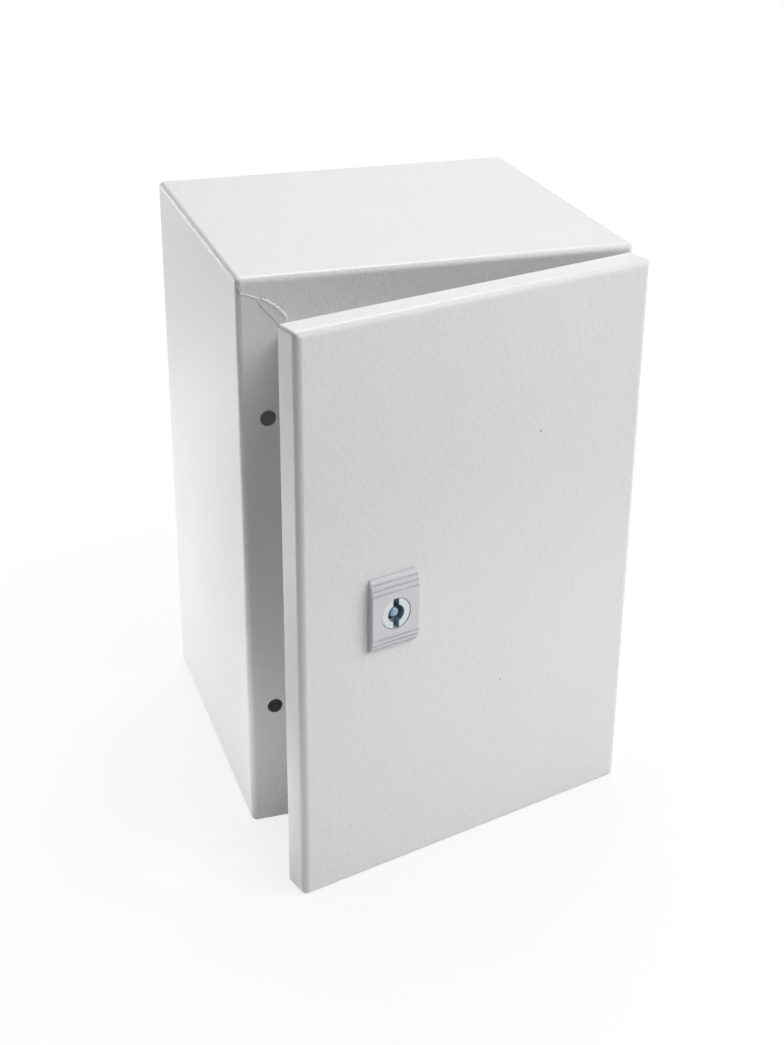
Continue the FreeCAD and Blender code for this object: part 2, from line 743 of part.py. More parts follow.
# Lock, drawn about its own axis on the door's front face

def lock_housing():
    """Arched head with finger ribs, and the threaded barrel behind it."""
    body = new_body("lock_housing")
    side = sketch_on(body, "YZ_Plane")
    loop(side, [
        ("0", "-lock_height / 2"), ("-lock_end_rise", "-lock_height / 2", "meets"),
        ("-lock_rise", "-lock_flat / 2"), ("-lock_rise", "lock_flat / 2", "leaves"),
        ("-lock_end_rise", "lock_height / 2"), ("0", "lock_height / 2"),
    ])
    head = pad(body, side, "lock_width", both_ways=True)
    upright = value("lock_end_rise")

    def outer_corner(edge):
        box = edge.BoundBox
        return box.XLength < 1e-4 and box.YLength > upright / 2 and box.ZLength < 1e-4
    rounded = fillet(body, head, outer_corner, "lock_corner")

    def front_edge(edge):
        box = edge.BoundBox
        return box.YMax < -upright / 2
    fillet(body, rounded, front_edge, "lock_edge")
    ribs = sketch_on(body, "YZ_Plane")
    for sign in ("", "-"):
        for number in range(3):
            middle = f"lock_flat / 2 + {number} * rib_pitch + rib_groove"
            low, high = f"{middle} - rib_groove / 2", f"{middle} + rib_groove / 2"
            floor = f"rib_groove_depth - {rib_surface(middle)}"
            loop(ribs, [
                (floor, f"{sign}({low})"), ("-lock_rise - rib_groove", f"{sign}({low})"),
                ("-lock_rise - rib_groove", f"{sign}({high})"), (floor, f"{sign}({high})"),
            ])
    pocket(body, ribs, "2 * lock_width", both_ways=True)
    rods(body, "XZ_Plane", [("0", "0")], "barrel", "door_steel + barrel_length",
         "-door_steel - barrel_length")
    groove = sketch_on(body, "XZ_Plane")
    circle(groove, "0", "0", "lock_seal")
    circle(groove, "0", "0", "barrel")
    pocket(body, groove, "lock_seal_thickness", back=True)
    counterbore = sketch_on(body, "XZ_Plane", "lock_rise")
    circle(counterbore, "0", "0", "rotor_head + 2 * rotor_clearance")
    pocket(body, counterbore, "rotor_recess + rotor_head_length")
    bore = sketch_on(body, "XZ_Plane", "lock_rise")
    circle(bore, "0", "0", "rotor_shank + 2 * running_clearance")
    pocket(body, bore, "lock_rise + door_steel + 2 * barrel_length")
    place(body, "lock_x", "-door_front", "door_middle", on_door=True)


def rib_surface(height):
    """Rise of the arched head at a height, from the arc of its side view."""
    drop = "(lock_rise - lock_end_rise)"
    run = "((lock_height - lock_flat) / 2)"
    radius = f"(({run}^2 + {drop}^2) / (2 * {drop}))"
    return f"(lock_rise - {radius} + sqrt({radius}^2 - ({height} - lock_flat / 2)^2))"


def lock_fixings():
    """Flat seal under the head, and the nut behind the door's sheet."""
    spot = [("0", "0")]
    seal = rings("lock_seal", "XZ_Plane", spot, "lock_seal - 2 * running_clearance",
                 "barrel + 2 * running_clearance", "lock_seal_thickness")
    nut = rings("lock_nut", "XZ_Plane", spot, "lock_nut_flats",
                "barrel + 2 * running_clearance", "lock_nut_height",
                "-door_steel - lock_nut_height", flats=True)
    for body in (seal, nut):
        place(body, "lock_x", "-door_front", "door_middle", on_door=True)


def lock_rotor():
    """Turning insert with its key socket, and the square for the cam."""
    body = new_body("lock_rotor")
    spot = [("0", "0")]
    shoulder = "rotor_face - rotor_head_length"
    head = rods(body, "XZ_Plane", spot, "rotor_head", "rotor_head_length", shoulder)
    fillet(body, head, at_height("Y", "-rotor_face"), "rotor_edge")
    rods(body, "XZ_Plane", spot, "rotor_shank", f"{shoulder} + cam_front", "-cam_front")
    square = sketch_on(body, "XZ_Plane", "-cam_front - cam_steel")
    rectangle(square, "cam_square / 2", "cam_square / 2")
    pad(body, square, "cam_steel")
    socket = sketch_on(body, "XZ_Plane", "rotor_face")
    circle(socket, "0", "0", "key_socket")
    pocket(body, socket, "key_socket_depth")
    slots = sketch_on(body, "XZ_Plane", "rotor_face")
    rectangle(slots, "key_slot / 2", "rotor_head")
    pocket(body, slots, "key_slot_depth")
    pin = rods(body, "XZ_Plane", spot, "key_pin", "key_socket_depth - key_pin_recess",
               "rotor_face - key_socket_depth")
    fillet(body, pin, at_height("Y", "key_pin_recess - rotor_face"), "key_pin_round")
    tapped = sketch_on(body, "XZ_Plane", "-cam_front - cam_steel")
    circle(tapped, "0", "0", "thread + 2 * running_clearance")
    pocket(body, tapped, "cam_screw_length + cam_steel + running_clearance", back=True)
    place(body, "lock_x", "-door_front", "door_middle", on_door=True)


def lock_cam():
    """Flat tongue that turns behind the flange, drawn unlocked, tip up."""
    body = new_body("lock_cam")
    back = "-cam_front - cam_steel"
    shoulder = "cam_reach - cam_tip"
    rods(body, "XZ_Plane", [("0", "0")], "2 * cam_round", "cam_steel", back)
    tongue = sketch_on(body, "XZ_Plane", back)
    loop(tongue, [
        ("cam_round", "0"), ("cam_tip", shoulder),
        ("-cam_tip", shoulder), ("-cam_round", "0"),
    ])
    pad(body, tongue, "cam_steel")
    rods(body, "XZ_Plane", [("0", shoulder)], "2 * cam_tip", "cam_steel", back)
    square = sketch_on(body, "XZ_Plane", back)
    half = "cam_square / 2 + cam_square_clearance"
    rectangle(square, half, half)
    pocket(body, square, "2 * cam_steel", back=True)
    place(body, "lock_x", "-door_front", "door_middle", on_door=True)


def cam_fixings():
    """Screw and washer that hold the cam on the rotor."""
    spot = [("0", "0")]
    back = "-cam_front - cam_steel"
    washer = rings("cam_washer", "XZ_Plane", spot, "cam_washer", "washer_hole",
                   "washer_thickness", f"{back} - washer_thickness")
    screw = new_body("cam_screw")
    head = sketch_on(screw, "XZ_Plane", f"{back} - washer_thickness - head_height")
    hexagon(head, "0", "0", "nut_flats")
    pad(screw, head, "head_height")
    rods(screw, "XZ_Plane", spot, "thread", "washer_thickness + cam_screw_length",
         f"{back} - washer_thickness")
    for body in (washer, screw):
        place(body, "lock_x", "-door_front", "door_middle", on_door=True)


def build():
    fill_sheet()
    side_and_back_wrap()
    top_panel()
    bottom_panel()
    corner_welds()
    mounting_plate()
    gland()
    earth_point("body", "XY_Plane", (
        "half_width - body_earth_side", "body_earth_front - body_depth",
        "body_steel - half_height"))
    door_panel()
    door_gasket()
    earth_point("door", "XZ_Plane", (
        "door_half_width - door_earth_side", "-door_inside",
        "door_earth_rise + door_base_clearance - half_height"), on_door=True)
    for name, side in (("upper", ""), ("lower", "-")):
        height = f"{side}hinge_z"
        hinge_bracket("hinge_bracket_" + name, height)
        hinge_leaf("hinge_leaf_" + name, height)
        hinge_pin("hinge_pin_" + name, height)
    hinge_fixings()
    lock_housing()
    lock_fixings()
    lock_rotor()
    lock_cam()
    cam_fixings()
    doc.recompute()


def check():
    for item in doc.Objects:
        if "Invalid" in item.State or "Error" in item.State:
            raise RuntimeError(f"{item.Name} failed: {item.State}")
    for body in parts:
        if body.Shape.isNull() or not body.Shape.isValid():
            raise RuntimeError(body.Label + " has no valid shape")


def export():
    os.makedirs("parts", exist_ok=True)
    for body in parts:
        body.Shape.exportStep(f"parts/{body.Label}.step")
        print(body.Label, len(body.Shape.Solids), round(body.Shape.Volume, 1))


build()
check()
export()
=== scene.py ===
from collections import namedtuple
import json
import math

import bmesh
import bpy
from mathutils import Matrix, Vector, noise


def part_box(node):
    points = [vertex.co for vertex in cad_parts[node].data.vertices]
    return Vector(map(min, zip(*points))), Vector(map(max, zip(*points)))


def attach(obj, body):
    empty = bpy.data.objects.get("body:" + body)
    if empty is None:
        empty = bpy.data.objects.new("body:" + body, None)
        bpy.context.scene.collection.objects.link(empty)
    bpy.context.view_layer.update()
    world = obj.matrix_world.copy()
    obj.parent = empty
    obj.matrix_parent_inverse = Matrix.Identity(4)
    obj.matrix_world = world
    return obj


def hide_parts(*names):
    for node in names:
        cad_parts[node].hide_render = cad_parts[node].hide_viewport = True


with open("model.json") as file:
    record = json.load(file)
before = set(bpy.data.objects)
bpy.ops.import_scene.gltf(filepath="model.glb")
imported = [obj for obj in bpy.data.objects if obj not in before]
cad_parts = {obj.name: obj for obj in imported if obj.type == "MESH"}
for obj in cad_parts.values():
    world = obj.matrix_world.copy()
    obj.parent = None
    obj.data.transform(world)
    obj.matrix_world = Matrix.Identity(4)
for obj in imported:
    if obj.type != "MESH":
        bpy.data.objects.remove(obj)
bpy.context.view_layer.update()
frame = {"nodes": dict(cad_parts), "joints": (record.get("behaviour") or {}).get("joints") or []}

# A steel wall enclosure with its door ajar, in metres. The origin is on the
# outside of the back, at mid-height; the door faces -Y and +Z is up.

MM = 0.001
UP = Vector((0, 0, 1))
FRONT = Vector((0, -1, 0))
BACK = -FRONT

nodes = frame["nodes"]
joints = {joint["name"]: joint for joint in frame["joints"]}

# Joints, and the turn that takes the closed door to its place at rest.
HINGE = Vector(joints["door_hinge"]["pos_m"])
LOCK = Vector(joints["lock_turn"]["pos_m"])
LOCK_AXIS = Vector(joints["lock_turn"]["axis"]).normalized()
REST_ANGLE = math.atan2(LOCK_AXIS.x, -LOCK_AXIS.y)
DOOR_TURN = (Matrix.Translation(HINGE) @ Matrix.Rotation(REST_ANGLE, 4, "Z")
             @ Matrix.Translation(-HINGE))


def reach(node, origin, axis):
    """How far a node reaches from origin along axis."""
    return max((vertex.co - origin).dot(axis) for vertex in nodes[node].data.vertices)


def closed_box(node):
    """Low and high corners of a door node with the door swung shut."""
    shut = DOOR_TURN.inverted()
    places = [shut @ vertex.co for vertex in nodes[node].data.vertices]
    return tuple(Vector([pick(place[i] for place in places) for i in range(3)])
                 for pick in (min, max))


# Sizes of the CAD that the modelled pieces and the coat fit.
HALF_WIDTH = 0.1
HALF_HEIGHT = 0.15
FLANGE_FACE = -0.182
FLOOR_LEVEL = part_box("bottom_panel")[0][2]
ROTOR_FACE = reach("lock_rotor", LOCK, LOCK_AXIS)
GASKET_LOW, GASKET_HIGH = closed_box("door_gasket")

# Fasteners. A thread's depth is a share of its pitch, and the round crown of a
# nut's end is a share of its width over the flats.
Thread = namedtuple("Thread", "radius pitch flats")
M5 = Thread(2.5 * MM, 0.8 * MM, 8.0 * MM)
M6 = Thread(3.0 * MM, 1.0 * MM, 10.0 * MM)
THREAD_DEPTH = 0.56
TIP_FLAT = 0.1 * MM
BORE_PLAY = 0.05 * MM
NUT_BEVEL = 0.35 * MM
NUT_CROWN = 0.47
NUT_CHAMFER = 30
SCREW_HEAD = 4.0 * MM
STUD_FOOT = 0.8 * MM
PLATE_STUD_FOOT = 2.2 * MM
COLLAR_LENGTH = 12.0 * MM
COLLAR_RADIUS = 5.5 * MM
COLLAR_EDGE = 0.4 * MM

# Seals. The door's foam stays inside its CAD solid, and its pour starts and ends
# in a small blob at the bottom, to the right of the middle.
GASKET_WIDTH = 10.0 * MM
GASKET_CORNER = 5.0 * MM
FOAM_HALF_WIDTH = 4.65 * MM
FOAM_RISE = 5.4 * MM
FOAM_WAVES = 45
POUR_START = 12.0 * MM
POUR_BLOB = 4.0 * MM
GLAND_FRAME = 15.0 * MM
GLAND_CORNER = 6.0 * MM
GLAND_HOLE = 2.8 * MM
GLAND_EDGE = 0.35 * MM
LOCK_SEAL_INSIDE = 11.1 * MM
LOCK_SEAL_OUTSIDE = 12.4 * MM
LOCK_SEAL_THICK = 1.0 * MM
LOCK_SEAL_EDGE = 0.15 * MM

# Weld beads, in millimetres along the mitre from the body's corner: where a bead
# starts and stops, over what length it flares, emerges from the sheet and closes,
# and how high it may stand. Its crest lies at a share of the way across it. Then
# come each bead's side, its end of the body, its relief and its noise's seed.
BEAD_START, BEAD_STOP = 10.0, 23.0
BEAD_FLARE, BEAD_EMERGE, BEAD_CLOSE = 5.0, 3.5, 0.8
BEAD_TALLEST = 0.79
CREST_AT, CREST_WIDTH = 0.84, 0.13
BEADS = ((-1, 1, 1.0, 2.0), (1, 1, 0.9, 9.0), (-1, -1, 0.4, 17.0), (1, -1, 0.5, 31.0))

# The upper left bead's tail on the flange, as x and z in millimetres.
WELD_TAIL = ((-97.6, 142.9), (-95.0, 142.0), (-92.0, 140.9), (-89.5, 139.9), (-87.5, 138.6))
TAIL_HALF_WIDTH = 0.75 * MM
TAIL_RISE = 0.3 * MM

# Small dark marks in the coat: two specks on the door, and three on the top left bend that are
# painted shade of a small notch in the bend.
SPECKS_AND_NOTCH_SHADE = (((0.0408, -0.21527, 0.07147), 0.7 * MM),
              ((0.02261, -0.22035, -0.06125), 0.6 * MM),
              ((-0.0991, -0.1811, 0.145), 0.45 * MM),
              ((-0.0987, -0.1815, 0.144), 0.5 * MM),
              ((-0.0983, -0.1817, 0.1431), 0.5 * MM))

# Camera, fitted to the outlines of the body and the door in the photograph.
CAMERA_PLACE = Vector((-0.268702, -0.931323, 0.396697))
CAMERA_HEADING = 18.1184
CAMERA_PITCH = -25.7645
CAMERA_ROLL = 0.499
CAMERA_LENS = 60.0695
SENSOR = 36.0

# Lights: name, place, the point it faces, side of its square, watts and tint.
WHITE = (1, 1, 1)
WARM = (1, 0.97, 0.93)
LIGHTS = (
    ("overhead_softbox", (0.2, 0.6, 1.1), (0, -0.1, 0.1), 0.8, 11.5, WHITE),
    ("left_overhead_softbox", (-0.5, 0.0, 1.2), (0, -0.1, 0.1), 0.8, 2.0, WHITE),
    ("right_softbox", (0.8, -0.6, 1.0), (0, -0.1, 0.1), 0.6, 8.5, WHITE),
    ("rear_left_softbox", (-0.8, 1.1, 0.0), (-0.1, -0.05, 0), 0.8, 10.0, WHITE),
    ("front_softbox", (0.5, -1.2, 1.0), (0, -0.2, 0), 0.6, 5.8, WHITE),
    ("side_right_softbox", (1.6, -0.7, 0.3), (0.05, -0.2, -0.05), 0.8, 4.5, WHITE),
    ("rear_side_strip", (-0.4, 0.3, -0.06), (-0.1, -0.06, -0.03), 0.15, 0.45, WHITE),
    ("low_left_strip", (-0.34, -0.02, -0.125), (-0.1, -0.08, -0.08), 0.12, 0.34, WARM),
    ("left_floor_wash", (-0.34, -0.3, 0.0), (-0.3, -0.28, -0.15), 0.2, 0.04, WHITE),
    ("flange_foot_strip", (-0.15, -0.235, -0.1), (-0.12, -0.18, -0.1), 0.05, 0.02, WARM),
    ("front_floor_wash", (0.1, -0.45, 0.0), (0.08, -0.42, -0.15), 0.2, 0.12, WHITE),
)
WORLD_STRENGTH = 0.04

# Floor: the camera sees an even white glow over the lit paint. Its share grows to
# all of it between two distances from the part's foot. Glossy surfaces mirror the
# floor as white in front and as dark far behind, with a fade along Y.
FLOOR_HALF = 3.0
FLOOR_FOOT = (0, -0.11, FLOOR_LEVEL)
FLOOR_NEAR_GLOW = 0.8
FLOOR_GLOW_START, FLOOR_GLOW_END = 0.16, 0.38
MIRROR_FADE_START, MIRROR_FADE_END = 0.42, 0.58


# Materials

def new_material(name, colour, roughness, metallic=0.0, specular=0.5):
    material = bpy.data.materials.new(name)
    material.use_nodes = True
    shader = material.node_tree.nodes["Principled BSDF"]
    shader.inputs["Base Color"].default_value = (*colour, 1)
    shader.inputs["Roughness"].default_value = roughness
    shader.inputs["Metallic"].default_value = metallic
    shader.inputs["Specular IOR Level"].default_value = specular
    return material, material.node_tree, shader


def add_node(tree, kind, **settings):
    node = tree.nodes.new(kind)
    for name, setting in settings.items():
        setattr(node, name, setting)
    return node


def object_place(tree):
    return add_node(tree, "ShaderNodeTexCoord").outputs["Object"]


def noise_texture(tree, place, scale, detail=2.0):
    texture = add_node(tree, "ShaderNodeTexNoise")
    texture.inputs["Scale"].default_value = scale
    texture.inputs["Detail"].default_value = detail
    tree.links.new(place, texture.inputs["Vector"])
    return texture.outputs["Fac"]


def cells(tree, place, scale, feature="F1"):
    texture = add_node(tree, "ShaderNodeTexVoronoi", feature=feature)
    texture.inputs["Scale"].default_value = scale
    tree.links.new(place, texture.inputs["Vector"])
    return texture.outputs


def spread(tree, source, low, high, from_low=0.0, from_high=1.0):
    """Maps a value from one range to another, clamped."""
    node = add_node(tree, "ShaderNodeMapRange")
    for name, number in (("From Min", from_low), ("From Max", from_high),
                         ("To Min", low), ("To Max", high)):
        node.inputs[name].default_value = number
    tree.links.new(source, node.inputs["Value"])
    return node.outputs["Result"]


def combine(tree, kind, first, second):
    """A maths node on two sockets or numbers."""
    node = add_node(tree, "ShaderNodeMath", operation=kind)
    for socket, item in zip(node.inputs, (first, second)):
        if isinstance(item, (int, float)):
            socket.default_value = item
        else:
            tree.links.new(item, socket)
    return node.outputs["Value"]


def from_point(tree, place, kind, point):
    """A vector node on the place of the surface and a fixed point or way."""
    node = add_node(tree, "ShaderNodeVectorMath", operation=kind)
    tree.links.new(place, node.inputs[0])
    node.inputs[1].default_value = point
    return node.outputs


def blend_colours(tree, factor, first, second):
    node = add_node(tree, "ShaderNodeMix", data_type="RGBA")
    tree.links.new(factor, node.inputs["Factor"])
    for socket, item in (("A", first), ("B", second)):
        target = next(i for i in node.inputs if i.name == socket and i.type == "RGBA")
        if isinstance(item, tuple):
            target.default_value = (*item, 1)
        else:
            tree.links.new(item, target)
    return next(o for o in node.outputs if o.type == "RGBA")


def bump(tree, shader, height, depth, strength=1.0):
    node = add_node(tree, "ShaderNodeBump")
    node.inputs["Strength"].default_value = strength
    node.inputs["Distance"].default_value = depth
    tree.links.new(height, node.inputs["Height"])
    tree.links.new(node.outputs["Normal"], shader.inputs["Normal"])


def powder_coat():
    """Light grey powder coat with a fine orange peel, a few dark specks, and painted shade of a
    small notch at the top left bend.
    """
    material, tree, shader = new_material("powder_coat_grey", (0.7, 0.7, 0.69), 0.4)
    place = object_place(tree)
    patches = noise_texture(tree, place, scale=14.0, detail=3.0)
    colour = blend_colours(tree, patches, (0.695, 0.695, 0.702), (0.72, 0.719, 0.734))

    # Only a few of the cells hold a speck.
    specks = cells(tree, place, scale=55.0)
    near = spread(tree, specks["Distance"], 1.0, 0.0, from_low=0.012, from_high=0.02)
    chosen = spread(tree, specks["Color"], 0.0, 1.0, from_low=0.9, from_high=0.92)
    dark = combine(tree, "MULTIPLY", near, chosen)
    # Dark specks on the door, and painted shade of the notch on the top left bend.
    for spot, radius in SPECKS_AND_NOTCH_SHADE:
        away = from_point(tree, place, "DISTANCE", spot)["Value"]
        mark = spread(tree, away, 1.0, 0.0, from_low=radius * 0.5, from_high=radius)
        dark = combine(tree, "MAXIMUM", dark, mark)
    colour = blend_colours(tree, dark, colour, (0.25, 0.25, 0.25))
    tree.links.new(colour, shader.inputs["Base Color"])

    peel = noise_texture(tree, place, scale=1150.0)
    waves = noise_texture(tree, place, scale=300.0, detail=1.0)
    height = combine(tree, "ADD", peel, combine(tree, "MULTIPLY", waves, 0.9))
    tree.links.new(spread(tree, peel, 0.36, 0.46), shader.inputs["Roughness"])
    bump(tree, shader, height, depth=0.2 * MM)
    return material


def zinc_plate():
    """Bright zinc plate: slightly uneven, with fine handling marks."""
    fresh, dull = (0.74, 0.75, 0.76), (0.592, 0.6, 0.608)
    material, tree, shader = new_material("zinc_plate_bright", fresh, 0.3, metallic=1.0)
    place = object_place(tree)
    cloud = noise_texture(tree, place, scale=60.0, detail=3.0)
    tree.links.new(blend_colours(tree, cloud, dull, fresh), shader.inputs["Base Color"])
    grain = noise_texture(tree, place, scale=900.0, detail=3.0)
    tree.links.new(spread(tree, grain, 0.22, 0.44), shader.inputs["Roughness"])
    bump(tree, shader, grain, depth=0.02 * MM, strength=0.5)
    return material


def rotor_zinc():
    """Blue passivated casting, worn bright on its ring by the key."""
    material, tree, shader = new_material("cast_zinc_blue", (0.4, 0.5, 0.58), 0.38, 1.0)
    place = object_place(tree)
    offset = from_point(tree, place, "SUBTRACT", LOCK)["Vector"]
    along = from_point(tree, offset, "DOT_PRODUCT", LOCK_AXIS)["Value"]
    worn = spread(tree, along, 0.0, 1.0, from_low=ROTOR_FACE - 0.35 * MM,
                  from_high=ROTOR_FACE - 0.1 * MM)
    grain = noise_texture(tree, place, scale=900.0, detail=3.0)
    cloud = noise_texture(tree, place, scale=260.0)
    blue = blend_colours(tree, cloud, (0.2, 0.31, 0.4), (0.42, 0.54, 0.62))
    tree.links.new(blend_colours(tree, worn, blue, (0.68, 0.71, 0.73)),
                   shader.inputs["Base Color"])
    tree.links.new(spread(tree, worn, 0.35, 0.8), shader.inputs["Metallic"])
    rough = combine(tree, "ADD", spread(tree, grain, 0.2, 0.36), spread(tree, worn, 0.0, 0.2))
    tree.links.new(rough, shader.inputs["Roughness"])
    bump(tree, shader, grain, depth=0.05 * MM, strength=0.8)
    return material


def galvanised():
    """Hot-dip zinc sheet with its spangle."""
    material, tree, shader = new_material("galvanised_sheet", (0.6, 0.62, 0.64), 0.4, 1.0)
    place = object_place(tree)
    wander = noise_texture(tree, place, scale=70.0)
    spangle = cells(tree, place, scale=110.0)["Color"]
    tone = combine(tree, "ADD", combine(tree, "MULTIPLY", wander, 0.5),
                   combine(tree, "MULTIPLY", spangle, 0.5))
    colour = blend_colours(tree, tone, (0.5, 0.52, 0.54), (0.74, 0.76, 0.78))
    tree.links.new(colour, shader.inputs["Base Color"])
    tree.links.new(spread(tree, tone, 0.3, 0.52), shader.inputs["Roughness"])
    bump(tree, shader, tone, depth=0.015 * MM, strength=0.4)
    return material


def lock_plastic():
    """Moulded polyamide, a cooler and slightly violet grey."""
    material, tree, shader = new_material("lock_polyamide", (0.6, 0.595, 0.63), 0.42)
    place = object_place(tree)
    cloud = noise_texture(tree, place, scale=90.0)
    colour = blend_colours(tree, cloud, (0.58, 0.575, 0.605), (0.63, 0.625, 0.65))
    tree.links.new(colour, shader.inputs["Base Color"])
    skin = noise_texture(tree, place, scale=1500.0)
    tree.links.new(spread(tree, skin, 0.34, 0.48), shader.inputs["Roughness"])
    bump(tree, shader, skin, depth=0.02 * MM, strength=0.5)
    return material


def foam(name, colour, pore_scale, depth):
    """Foam or rubber with a soft closed skin."""
    material, tree, shader = new_material(name, colour, 0.75)
    place = object_place(tree)
    cloud = noise_texture(tree, place, scale=300.0, detail=3.0)
    pale = tuple(channel * 1.8 for channel in colour)
    tree.links.new(blend_colours(tree, cloud, colour, pale), shader.inputs["Base Color"])
    pores = cells(tree, place, pore_scale, "SMOOTH_F1")["Distance"]
    bump(tree, shader, combine(tree, "ADD", pores, cloud), depth, strength=0.7)
    tree.links.new(spread(tree, cloud, 0.65, 0.88), shader.inputs["Roughness"])
    return material


def dress(names, material):
    for name in names:
        mesh = nodes[name].data
        mesh.materials.clear()
        mesh.materials.append(material)


# Meshes

def finish_mesh(mesh, material, sharp):
    """Outward normals, one material, and smooth shading up to an angle."""
    clean = bmesh.new()
    clean.from_mesh(mesh)
    bmesh.ops.recalc_face_normals(clean, faces=clean.faces)
    clean.to_mesh(mesh)
    clean.free()
    mesh.materials.clear()
    mesh.materials.append(material)
    mesh.shade_smooth()
    mesh.set_sharp_from_angle(angle=math.radians(sharp))


def add_object(name, data):
    thing = bpy.data.objects.new(name, data)
    bpy.context.scene.collection.objects.link(thing)
    return thing


def new_piece(name, verts, faces, material, sharp):
    mesh = bpy.data.meshes.new(name)
    mesh.from_pydata([tuple(v) for v in verts], [], faces)
    mesh.validate()
    finish_mesh(mesh, material, sharp)
    return add_object(name, mesh)


def seat(piece, node, body):
    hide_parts(node)
    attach(piece, body)


def frame_at(centre, axis):
    """A matrix whose z runs along axis from centre."""
    turn = Vector(axis).normalized().to_track_quat("Z", "Y").to_matrix().to_4x4()
    return Matrix.Translation(centre) @ turn


def round_ways(steps):
    """Ways in the xy plane, evenly around the z axis."""
    angles = [2 * math.pi * i / steps for i in range(steps)]
    return [Vector((math.cos(angle), math.sin(angle), 0)) for angle in angles]


def ring_grid(rings):
    """Faces between rings of equal length, with both ends capped."""
    count = len(rings[0])
    verts = [v for ring in rings for v in ring]
    faces = []
    for row in range(len(rings) - 1):
        for i in range(count):
            j = (i + 1) % count
            faces.append((row * count + i, row * count + j,
                          (row + 1) * count + j, (row + 1) * count + i))
    faces.append(tuple(range(count))[::-1])
    faces.append(tuple((len(rings) - 1) * count + i for i in range(count)))
    return verts, faces


def loop_grid(rings):
    """Faces over rings of equal length whose last one joins the first."""
    count = len(rings[0])
    verts = [v for ring in rings for v in ring]
    faces = []
    for row in range(len(rings)):
        after = (row + 1) % len(rings)
        for i in range(count):
            j = (i + 1) % count
            faces.append((row * count + i, after * count + i,
                          after * count + j, row * count + j))
    return verts, faces


def gather(shapes):
    """Joins lists of (verts, faces) into one."""
    verts, faces = [], []
    for some_verts, some_faces in shapes:
        start = len(verts)
        verts += some_verts
        faces += [tuple(start + i for i in face) for face in some_faces]
    return verts, faces


def lathe(profile, matrix, steps=40):
    """Turns a closed (radius, height) profile about z."""
    return loop_grid([[matrix @ (way * radius + UP * height) for radius, height in profile]
                      for way in round_ways(steps)])


def spans(node, axis):
    """Near end and length, along axis, of each separate solid of a node."""
    mesh = nodes[node].data
    parent = list(range(len(mesh.vertices)))

    def root(i):
        while parent[i] != i:
            parent[i] = parent[parent[i]]
            i = parent[i]
        return i

    places = {}
    for vertex in mesh.vertices:
        key = tuple(round(c, 6) for c in vertex.co)
        parent[root(vertex.index)] = root(places.setdefault(key, vertex.index))
    for edge in mesh.edges:
        a, b = edge.vertices
        parent[root(a)] = root(b)
    solids = {}
    for vertex in mesh.vertices:
        solids.setdefault(root(vertex.index), []).append(vertex.co)
    found = []
    for points in solids.values():
        low = Vector([min(p[i] for p in points) for i in range(3)])
        high = Vector([max(p[i] for p in points) for i in range(3)])
        middle = (low + high) / 2
        ends = [(p - middle).dot(axis) for p in points]
        found.append((middle + axis * min(ends), max(ends) - min(ends)))
    return found


# Fasteners

def nut(matrix, thread, height, open_bore=True):
    """A hexagon with chamfered corners at both ends, bored or solid."""
    steps = 36
    crown = NUT_CROWN * thread.flats
    slope = math.tan(math.radians(NUT_CHAMFER))
    sixth = math.pi / 3
    bore = thread.radius + BORE_PLAY
    rings = [[] for _ in range(8)]
    for i, way in enumerate(round_ways(steps)):
        angle = 2 * math.pi * i / steps
        side_angle = (angle + sixth / 2) % sixth - sixth / 2
        corner = thread.flats / 2 / math.cos(side_angle)
        drop = max(0.0, corner - crown) * slope
        profile = ((bore + NUT_BEVEL, 0.0), (crown, 0.0), (corner, drop),
                   (corner, height - drop), (crown, height), (bore + NUT_BEVEL, height),
                   (bore, height - NUT_BEVEL), (bore, NUT_BEVEL))
        for ring, (radius, level) in zip(rings, profile):
            ring.append(matrix @ (way * radius + UP * level))
    return loop_grid(rings) if open_bore else ring_grid(rings[1:5])


def threaded_rod(matrix, thread, length, plain=0.0):
    """A rod with a helical thread, a plain foot and a chamfered tip."""
    steps, rows_per_turn = 24, 7
    root = thread.radius - THREAD_DEPTH * thread.pitch
    tip = root - TIP_FLAT
    rows = int(length / thread.pitch * rows_per_turn)
    rings = []
    for row in range(rows + 1):
        level = length * row / rows
        ring = []
        for i, way in enumerate(round_ways(steps)):
            phase = (level / thread.pitch - i / steps) % 1.0
            flank = min(1.0, max(0.0, 2.2 * abs(phase - 0.5) - 0.1))
            radius = root + (thread.radius - root) * flank
            if level < plain:
                radius = thread.radius
            radius = min(radius, tip + length - level)
            ring.append(matrix @ (way * radius + UP * level))
        rings.append(ring)
    return ring_grid(rings)


def collar(base, axis):
    """The turned collar that a plate rests on."""
    rim = COLLAR_RADIUS - COLLAR_EDGE
    middle = 0.05 * MM
    profile = [(middle, 0), (rim, 0), (COLLAR_RADIUS, COLLAR_EDGE),
               (COLLAR_RADIUS, COLLAR_LENGTH - COLLAR_EDGE), (rim, COLLAR_LENGTH),
               (middle, COLLAR_LENGTH)]
    return lathe(profile, frame_at(base, axis))


def hex_screw(base, length, axis):
    """A screw from its tip at base to its head, which lies along axis."""
    neck = base + axis * (length - SCREW_HEAD)
    return [nut(frame_at(neck, axis), M6, SCREW_HEAD, open_bore=False),
            threaded_rod(frame_at(neck, -axis), M6, length - SCREW_HEAD)]


